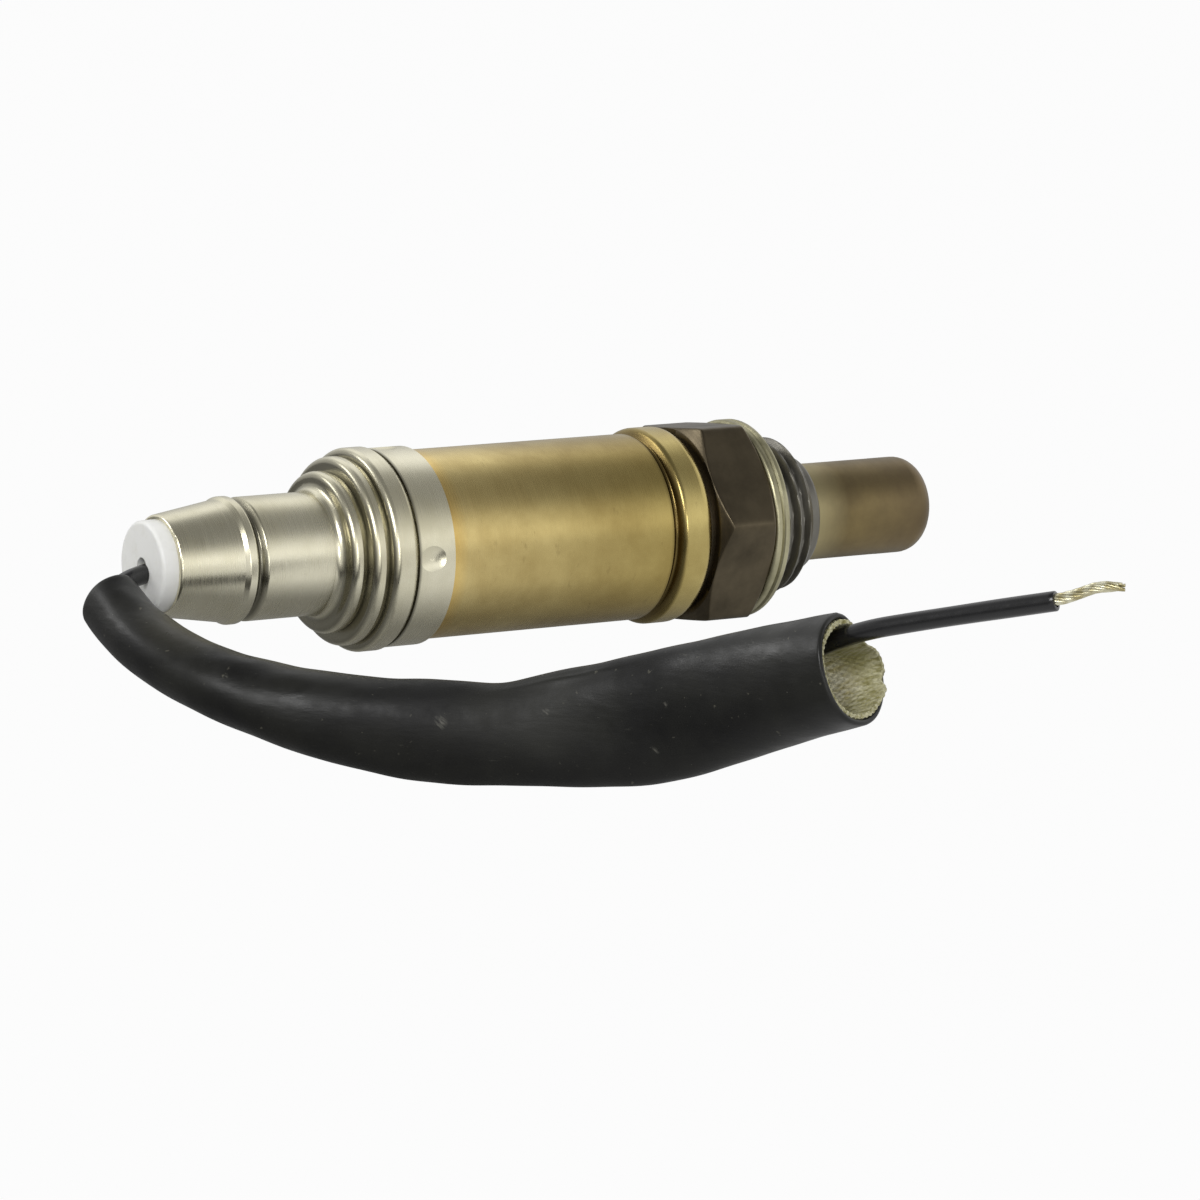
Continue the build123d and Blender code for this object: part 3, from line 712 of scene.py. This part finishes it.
def smooth_table(places, table_places, values):
    """Smooth curve through a table's values."""
    places = np.clip(places, table_places[0], table_places[-1])
    index = np.searchsorted(table_places, places, side="right") - 1
    index = np.clip(index, 0, len(values) - 2)
    width = table_places[index + 1] - table_places[index]
    share = (places - table_places[index]) / width
    slopes = np.gradient(values, table_places)
    cube, square = share**3, share**2
    first = (2 * cube - 3 * square + 1) * values[index]
    first_slope = (cube - 2 * square + share) * width * slopes[index]
    second = (3 * square - 2 * cube) * values[index + 1]
    second_slope = (cube - square) * width * slopes[index + 1]
    return first + first_slope + second + second_slope


class Line:
    """The smooth line of a cord: its places, directions and two directions across it, by length."""

    def __init__(self, name, route_mm):
        curve = bpy.data.curves.new(name, "CURVE")
        curve.dimensions = "3D"
        curve.resolution_u = 24
        spline = curve.splines.new("NURBS")
        spline.points.add(len(route_mm) - 1)
        for point, place in zip(spline.points, route_mm):
            point.co = (*place, 1.0)
        spline.order_u = 3
        spline.use_endpoint_u = True
        holder = bpy.data.objects.new(name, curve)
        mesh = bpy.data.meshes.new_from_object(holder)
        self.points = np.array([vertex.co for vertex in mesh.vertices])
        bpy.data.objects.remove(holder)
        bpy.data.meshes.remove(mesh)
        steps = np.linalg.norm(np.diff(self.points, axis=0), axis=1)
        self.lengths = np.concatenate([[0.0], np.cumsum(steps)])
        self.length = float(self.lengths[-1])
        self.along = np.gradient(self.points, self.lengths, axis=0)
        self.along /= np.linalg.norm(self.along, axis=1)[:, None]

    def at(self, length):
        """Place, direction, upward and sideways direction at each length, past the ends too."""
        length = np.asarray(length, float)
        inside = np.clip(length, 0.0, self.length)
        place, along = (
            np.stack([np.interp(inside, self.lengths, column) for column in table.T], axis=-1)
            for table in (self.points, self.along)
        )
        along /= np.linalg.norm(along, axis=-1)[..., None]
        place = place + along * (length - inside)[..., None]
        up = np.array([0.0, 0.0, 1.0]) - along * along[..., 2:3]
        up /= np.linalg.norm(up, axis=-1)[..., None]
        return place, along, up, np.cross(along, up)

    def path(self):
        return (self.points * MM).tolist()


# Lead and strands

LEAD_SIDES = 32
LEAD_ROWS = 260
LEAD_UNEVEN_MM = 0.02
LEAD_EDGE_MM = 0.12
LEAD_BORE_R_MM = 0.66
LEAD_BORE_DEPTH_MM = 3.0
STRAND_COUNT = 10
STRAND_SIDES = 10
STRAND_ROWS = 40
STRAND_R_MM = 0.19
STRAND_RING_R_MM = 0.44
STRAND_TWIST_MM = 9.0
STRANDS_HIDDEN_MM = 3.5
STRANDS_LOOSE_FROM_MM = 4.0
STRAND_SHORTEST_MM = 1.1
STRAND_SPREADS = (0.75, 1.3)
STRANDS_GATHERED = 0.25


def lead():
    """Insulated lead from inside the bushing to its stripped end, cut square round the strands."""
    route = [LEAD_START_MM, LEAD_BEND_MM, *SLEEVE_ROUTE_MM[1:-1], *LEAD_END_MM]
    line = Line("lead_line", route)
    uneven = waves(SEED + 1, 4, 0.05, 0.5)
    lengths = np.linspace(0, line.length, LEAD_ROWS)
    rings = [*zip(lengths, LEAD_R_MM + LEAD_UNEVEN_MM * uneven(lengths))]
    for turn in (math.pi / 4, math.pi / 2):
        radius = LEAD_R_MM - LEAD_EDGE_MM + LEAD_EDGE_MM * math.cos(turn)
        rings.append((line.length + LEAD_EDGE_MM * math.sin(turn), radius))
    cut_face = line.length + LEAD_EDGE_MM
    rings += [(cut_face, LEAD_BORE_R_MM), (cut_face - LEAD_BORE_DEPTH_MM, LEAD_BORE_R_MM)]
    lengths, radii = np.array(rings).T
    place, _, up, side = line.at(lengths)
    grid = rings_round(place, up, side, radii, LEAD_SIDES)
    faces = capped_faces(len(grid), LEAD_SIDES)
    piece = place_piece("lead", grid.reshape(-1, 3), faces, "lead_black")
    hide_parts("lead_insulation")
    return piece, line


def strands():
    """Twisted bare strands past the insulation, spread a little and uneven at their ends."""
    draw = random.Random(SEED + 2)
    line = Line("strands_line", [*LEAD_END_MM[1:], *STRANDS_END_MM])
    start = np.linalg.norm(np.subtract(LEAD_END_MM[2], LEAD_END_MM[1])) - STRANDS_HIDDEN_MM
    loose = start + STRANDS_LOOSE_FROM_MM
    points, faces = [], []
    for number in range(STRAND_COUNT):
        ring_r = 0.0 if number == 0 else STRAND_RING_R_MM
        first = 2 * math.pi * number / (STRAND_COUNT - 1)
        end = line.length - draw.uniform(0.0, STRAND_SHORTEST_MM)
        spread = draw.uniform(*STRAND_SPREADS)
        lengths = np.linspace(start, end, STRAND_ROWS)
        place, _, up, side = line.at(lengths)
        share = np.clip((lengths - loose) / (line.length - loose), 0, 1)
        turn = first + 2 * math.pi * (lengths - start) / STRAND_TWIST_MM
        out = ring_r * (1 + (spread - 1) * share**2 - STRANDS_GATHERED * share)
        middle = place + (out * np.cos(turn))[:, None] * up + (out * np.sin(turn))[:, None] * side
        faces += capped_faces(STRAND_ROWS, STRAND_SIDES, len(points))
        rings = rings_round(middle, up, side, STRAND_R_MM, STRAND_SIDES)
        points += rings.reshape(-1, 3).tolist()
    piece = place_piece("strands", points, faces, "bare_strands")
    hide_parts("lead_conductor")
    return piece


# Sleeve: its wrinkles and ripples, its crease and fold by length and angle, and its pressed mouth

SLEEVE_SIDES = 128
SLEEVE_ROWS = 240
SLEEVE_SHARP_ANGLE = math.radians(60.0)
LIP_STEPS = 6
WRINKLE_MM = 0.10
WRINKLE_SLANT_MM = 9.0
RIPPLE_MM = 0.035
RIPPLE_SLANT_MM = 5.0
CREASE_MM = 50.0
CREASE_REACH_MM = 4.5
CREASE_DEPTH_MM = 0.7
FOLD_MM = (49.0, 67.0)
FOLD_ANGLE = math.radians(29.0)
FOLD_WIDTH = 0.10
FOLD_HEIGHT_MM = 0.16
MOUTH_DENT = 0.38
MOUTH_DENT_FROM = 0.86
MOUTH_DENT_ANGLE = math.radians(312.0)
MOUTH_DENT_WIDTH = 0.45


def oval(share, angles, inset):
    """Height and depth of the sleeve's section at a share of its length, inset from its outside."""
    shares, heights, depths = np.array(SLEEVE_OVALS_MM).T
    half_height = smooth_table(share, shares, heights) - inset
    half_depth = smooth_table(share, shares, depths) - inset
    return half_height * np.cos(angles), half_depth * np.sin(angles)


def sleeve_points(line, lengths, angles, inset):
    """Points of the sleeve, inset from its outside, at lengths and angles of one shape.

    The mouth is pressed in at its upper far side.
    """
    share = np.clip(lengths / line.length, 0, 1)
    height, depth = oval(share, angles, inset)
    near_mouth = np.clip((share - MOUTH_DENT_FROM) / (1 - MOUTH_DENT_FROM), 0, 1)
    eased = near_mouth**2 * (3 - 2 * near_mouth)
    left = 1 - MOUTH_DENT * eased * bell(angles, MOUTH_DENT_ANGLE, MOUTH_DENT_WIDTH)
    place, _, up, side = line.at(lengths)
    return place + (height * left)[..., None] * up + (depth * left)[..., None] * side


def sleeve():
    """Black jacket, pressed oval, with soft wrinkles and a rounded lip at each end."""
    line = Line("sleeve_line", SLEEVE_ROUTE_MM)
    angles = ring_angles(SLEEVE_SIDES)
    over = np.maximum(np.cos(angles), 0.0) ** 3
    long_wave, short_wave = waves(SEED + 3, 4, 0.05, 0.3), waves(SEED + 4, 4, 0.4, 1.1)
    rings = []

    def add(length, inset):
        wrinkle = long_wave(length + WRINKLE_SLANT_MM * np.cos(angles))
        relief = WRINKLE_MM * wrinkle * np.cos(2 * angles)
        relief += RIPPLE_MM * short_wave(length + RIPPLE_SLANT_MM * np.sin(angles))
        relief -= CREASE_DEPTH_MM * over * bell(length, CREASE_MM, CREASE_REACH_MM)
        along_fold = np.clip((length - FOLD_MM[0]) / (FOLD_MM[1] - FOLD_MM[0]), 0, 1)
        fold_height = FOLD_HEIGHT_MM * np.sin(math.pi * along_fold)
        relief += fold_height * bell(angles, FOLD_ANGLE, FOLD_WIDTH)
        lengths = np.full(SLEEVE_SIDES, length)
        rings.append(sleeve_points(line, lengths, angles, inset - relief))

    half = JACKET_T_MM / 2
    turns = [math.pi * step / LIP_STEPS for step in range(1, LIP_STEPS)]
    for length in np.linspace(half, line.length - half, SLEEVE_ROWS):
        add(length, 0.0)
    for turn in turns:
        add(line.length - half + half * math.sin(turn), half - half * math.cos(turn))
    for length in np.linspace(line.length - half, half, SLEEVE_ROWS):
        add(length, JACKET_T_MM)
    for turn in turns:
        add(half - half * math.sin(turn), half + half * math.cos(turn))
    grid = np.array(rings).reshape(-1, 3)
    faces = ring_faces(len(rings), SLEEVE_SIDES, True)
    piece = place_piece("sleeve", grid, faces, "sleeve_black", SLEEVE_SHARP_ANGLE)
    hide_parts("sleeve_jacket")
    return piece, line


# Liner and its loose fibres

LINER_SIDES = 300
LINER_DEEP_ROWS = 30
LINER_DENSE_ROWS = 120
LINER_DENSE_MM = 13.0
LINER_START_MM = 0.6
LINER_CELLS = 46
LINER_CELL_MM = 1.1
LINER_CELL_HEIGHT_MM = 0.16
LINER_SHARP_ANGLE = math.radians(75.0)
LINER_NEAR_OUT_MM = -0.4
LINER_FAR_OUT_MM = 1.25
LINER_FAR_TURN = 0.25
LINER_FAR_POWER = 1.4
LINER_TORN_MM = 0.16
LINER_TORN_LEAST = 0.25
LINER_NOTCH = 4.33
LINER_NOTCH_WIDTH = 0.12
LINER_NOTCH_MM = 0.6
FRAY_COUNT = 40
FRAY_SIDES = 5
FRAY_ROWS = 6
FRAY_SIZES_MM = (0.2, 0.55)
FRAY_RADII_MM = (0.04, 0.08)
FRAY_LEANS = (-0.5, 0.5)
FRAY_ROOT_MM = 0.5
FRAY_TAPER = 0.6


def liner_edge(angles):
    """How far the liner stands out of the jacket: not at the near side, far and ragged opposite."""
    far = 0.5 - 0.5 * np.sin(angles - LINER_FAR_TURN)
    ragged = waves(SEED + 5, 5, 3.0, 11.0)(angles) * LINER_TORN_MM
    torn = ragged * (LINER_TORN_LEAST + far)
    notch = LINER_NOTCH_MM * bell(angles, LINER_NOTCH, LINER_NOTCH_WIDTH)
    return LINER_NEAR_OUT_MM + LINER_FAR_OUT_MM * far**LINER_FAR_POWER + torn - notch


def liner(line):
    """Woven liner: pillows of yarn where it shows, a plain wall deep inside, and a torn edge."""
    angles = ring_angles(LINER_SIDES)
    column = LINER_CELLS * angles / (2 * math.pi)
    reach = liner_edge(angles)
    rings = []

    def add(lengths, inset, height):
        lengths = np.broadcast_to(lengths, angles.shape)
        row = lengths / LINER_CELL_MM
        cells = np.sin(math.pi * (column + row)) * np.sin(math.pi * (column - row))
        rings.append(sleeve_points(line, lengths, angles, inset - height * np.abs(cells) ** 0.5))

    outer = JACKET_T_MM + LINER_GAP_MM
    inner = outer + LINER_T_MM
    crests = outer + LINER_CELL_HEIGHT_MM
    dense_start = line.length - LINER_DENSE_MM
    for length in np.linspace(LINER_START_MM, dense_start, LINER_DEEP_ROWS, endpoint=False):
        add(length, crests, 0.0)
    for share in np.linspace(0, 1, LINER_DENSE_ROWS):
        add(dense_start + share * (LINER_DENSE_MM + reach), crests, LINER_CELL_HEIGHT_MM)
    for share in np.linspace(1, 0, LINER_DENSE_ROWS):
        add(dense_start + share * (LINER_DENSE_MM + reach), inner, -LINER_CELL_HEIGHT_MM)
    for length in np.linspace(dense_start, LINER_START_MM, LINER_DEEP_ROWS):
        add(length, inner, 0.0)
    grid = np.array(rings).reshape(-1, 3)
    faces = ring_faces(len(rings), LINER_SIDES, True)
    piece = place_piece("liner", grid, faces, "woven_liner", LINER_SHARP_ANGLE)
    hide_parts("sleeve_liner")
    return piece


def frays(line):
    """Loose fibres that stand out of the liner's torn edge."""
    draw = random.Random(SEED + 6)
    points, faces = [], []
    inset = JACKET_T_MM + LINER_GAP_MM + LINER_T_MM / 2
    share = np.linspace(0, 1, FRAY_ROWS)
    for _ in range(FRAY_COUNT):
        angle = np.full(FRAY_ROWS, draw.uniform(0, 2 * math.pi))
        size = draw.uniform(*FRAY_SIZES_MM)
        lean_up, lean_side = draw.uniform(*FRAY_LEANS), draw.uniform(*FRAY_LEANS)
        radius = draw.uniform(*FRAY_RADII_MM)
        lengths = line.length + liner_edge(angle) - FRAY_ROOT_MM + size * share
        middle = sleeve_points(line, lengths, angle, inset)
        _, _, up, side = line.at(lengths)
        middle += (size * share**2)[:, None] * (lean_up * up + lean_side * side)
        faces += capped_faces(FRAY_ROWS, FRAY_SIDES, len(points))
        rings = rings_round(middle, up, side, radius * (1 - FRAY_TAPER * share), FRAY_SIDES)
        points += rings.reshape(-1, 3).tolist()
    return place_piece("liner_fibres", points, faces, "woven_liner")


lead_piece, lead_line = lead()
strands_piece = strands()
sleeve_piece, sleeve_line = sleeve()
liner_piece = liner(sleeve_line)
fray_piece = frays(sleeve_line)
lead_line.path()
sleeve_line.path()[0]
sleeve_line.path()


# Housing with its thread

HOUSING_SIDES = 360
HOUSING_SHARP_ANGLE = math.radians(32.0)
HEX_FLATS_MM = 22.0
HEX_X_MM = (-9.4, -2.0)
HEX_TURN = math.radians(-4.0)
HEX_CHAMFER = math.tan(math.radians(30.0))
HEX_ROUND_MM = 0.10
HEX_CHAMFER_REACH = 1.15
HEX_CHAMFER_ROWS = 22
HEX_MIDDLE_ROWS = 8
NECK_X_MM = -17.8
NECK_R_MM = 10.05
NECK_CHAMFER_MM = 0.4
UNDERCUT_R_MM = 8.25
THREAD_R_MM = 9.0
THREAD_X_MM = (0.0, 5.2)
THREAD_CHAMFER_MM = 1.0
THREAD_PITCH_MM = 1.5
THREAD_DEPTH_MM = 0.86
THREAD_FLANK = math.tan(math.radians(30.0))
THREAD_ROUND_MM = 0.03
THREAD_RUN_OUT = 1.2
THREAD_STEP_MM = 0.08
NOSE_R_MM = 6.75
NOSE_X_MM = 7.2
NOSE_ROUND_MM = 0.5
NOSE_STEPS = 6
BORE_R_MM = 7.0
BORE_SEAT_X_MM = 0.5
TUBE_WAY_R_MM = 5.65


def soft_least(first, second, size):
    """The smaller of two values, rounded over where they cross."""
    return -size * np.logaddexp(-first / size, -second / size)


def hex_radius(x, angles):
    """The chamfered hex: its flats, and the cone that trims its corners at each end."""
    sixth = math.pi / 3
    flat = HEX_FLATS_MM / 2 / np.cos((angles - HEX_TURN) % sixth - sixth / 2)
    corner = HEX_FLATS_MM / math.sqrt(3) - 1.5 * HEX_ROUND_MM
    cone = HEX_FLATS_MM / 2 + min(x - HEX_X_MM[0], HEX_X_MM[1] - x) / HEX_CHAMFER
    return soft_least(soft_least(flat, corner, HEX_ROUND_MM), cone, HEX_ROUND_MM)


def thread_radius(x, angles):
    """The thread's helix, run out into the undercut and chamfered at its front.

    Its crests are an eighth of the pitch wide.
    """
    phase = (x / THREAD_PITCH_MM - angles / (2 * math.pi)) % 1.0
    from_crest = np.abs(phase - 0.5) * THREAD_PITCH_MM
    flank = THREAD_R_MM - (from_crest - THREAD_PITCH_MM / 16) / THREAD_FLANK
    crested = soft_least(flank, THREAD_R_MM, THREAD_ROUND_MM)
    run_out = UNDERCUT_R_MM + (x - THREAD_X_MM[0]) * THREAD_RUN_OUT
    lead_in = THREAD_R_MM - max(0.0, x - THREAD_X_MM[1] + THREAD_CHAMFER_MM)
    return np.minimum(np.maximum(crested, THREAD_R_MM - THREAD_DEPTH_MM), min(run_out, lead_in))


def housing():
    """One closed turned form: neck, hex, undercut, thread and nose, and the stepped bore."""
    angles = ring_angles(HOUSING_SIDES)
    rings = []

    def add(x, radius):
        radius = np.broadcast_to(radius, angles.shape)
        across = (radius * np.cos(angles), radius * np.sin(angles))
        rings.append(np.stack([np.full_like(angles, x), *across], axis=1))

    add(NECK_X_MM, NECK_R_MM - NECK_CHAMFER_MM)
    add(NECK_X_MM + NECK_CHAMFER_MM, NECK_R_MM)
    add(HEX_X_MM[0], NECK_R_MM)
    chamfer = (HEX_FLATS_MM / math.sqrt(3) - HEX_FLATS_MM / 2) * HEX_CHAMFER
    near = np.linspace(0, HEX_CHAMFER_REACH * chamfer, HEX_CHAMFER_ROWS)
    start, end = HEX_X_MM[0] + near, HEX_X_MM[1] - near[::-1]
    middle = np.linspace(start[-1], end[0], HEX_MIDDLE_ROWS)[1:-1]
    for x in [*start, *middle, *end]:
        add(x, hex_radius(x, angles))
    add(HEX_X_MM[1], UNDERCUT_R_MM)
    for x in np.arange(THREAD_X_MM[0], THREAD_X_MM[1] + 0.01, THREAD_STEP_MM):
        add(x, thread_radius(x, angles))
    add(THREAD_X_MM[1], NOSE_R_MM)
    for step in range(NOSE_STEPS + 1):
        turn = math.pi / 2 * step / NOSE_STEPS
        back, inward = NOSE_ROUND_MM * (1 - math.sin(turn)), NOSE_ROUND_MM * (1 - math.cos(turn))
        add(NOSE_X_MM - back, NOSE_R_MM - inward)
    add(NOSE_X_MM, TUBE_WAY_R_MM)
    add(BORE_SEAT_X_MM, TUBE_WAY_R_MM)
    add(BORE_SEAT_X_MM, BORE_R_MM)
    add(NECK_X_MM, BORE_R_MM)
    grid = np.array(rings).reshape(-1, 3)
    faces = ring_faces(len(rings), HOUSING_SIDES, True)
    piece = place_piece("threaded_housing", grid, faces, "heat_tinted_steel", HOUSING_SHARP_ANGLE)
    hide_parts("housing")


housing()

# Finishes of the solids that stay
slots = {part["node"]: part["material_slot"] for part in frame["record"]["subparts"]}
for node, solid in frame["nodes"].items():
    solid.data.materials.clear()
    solid.data.materials.append(FINISHES[slots[node]])

bpy.context.scene.view_settings.view_transform = "Standard"
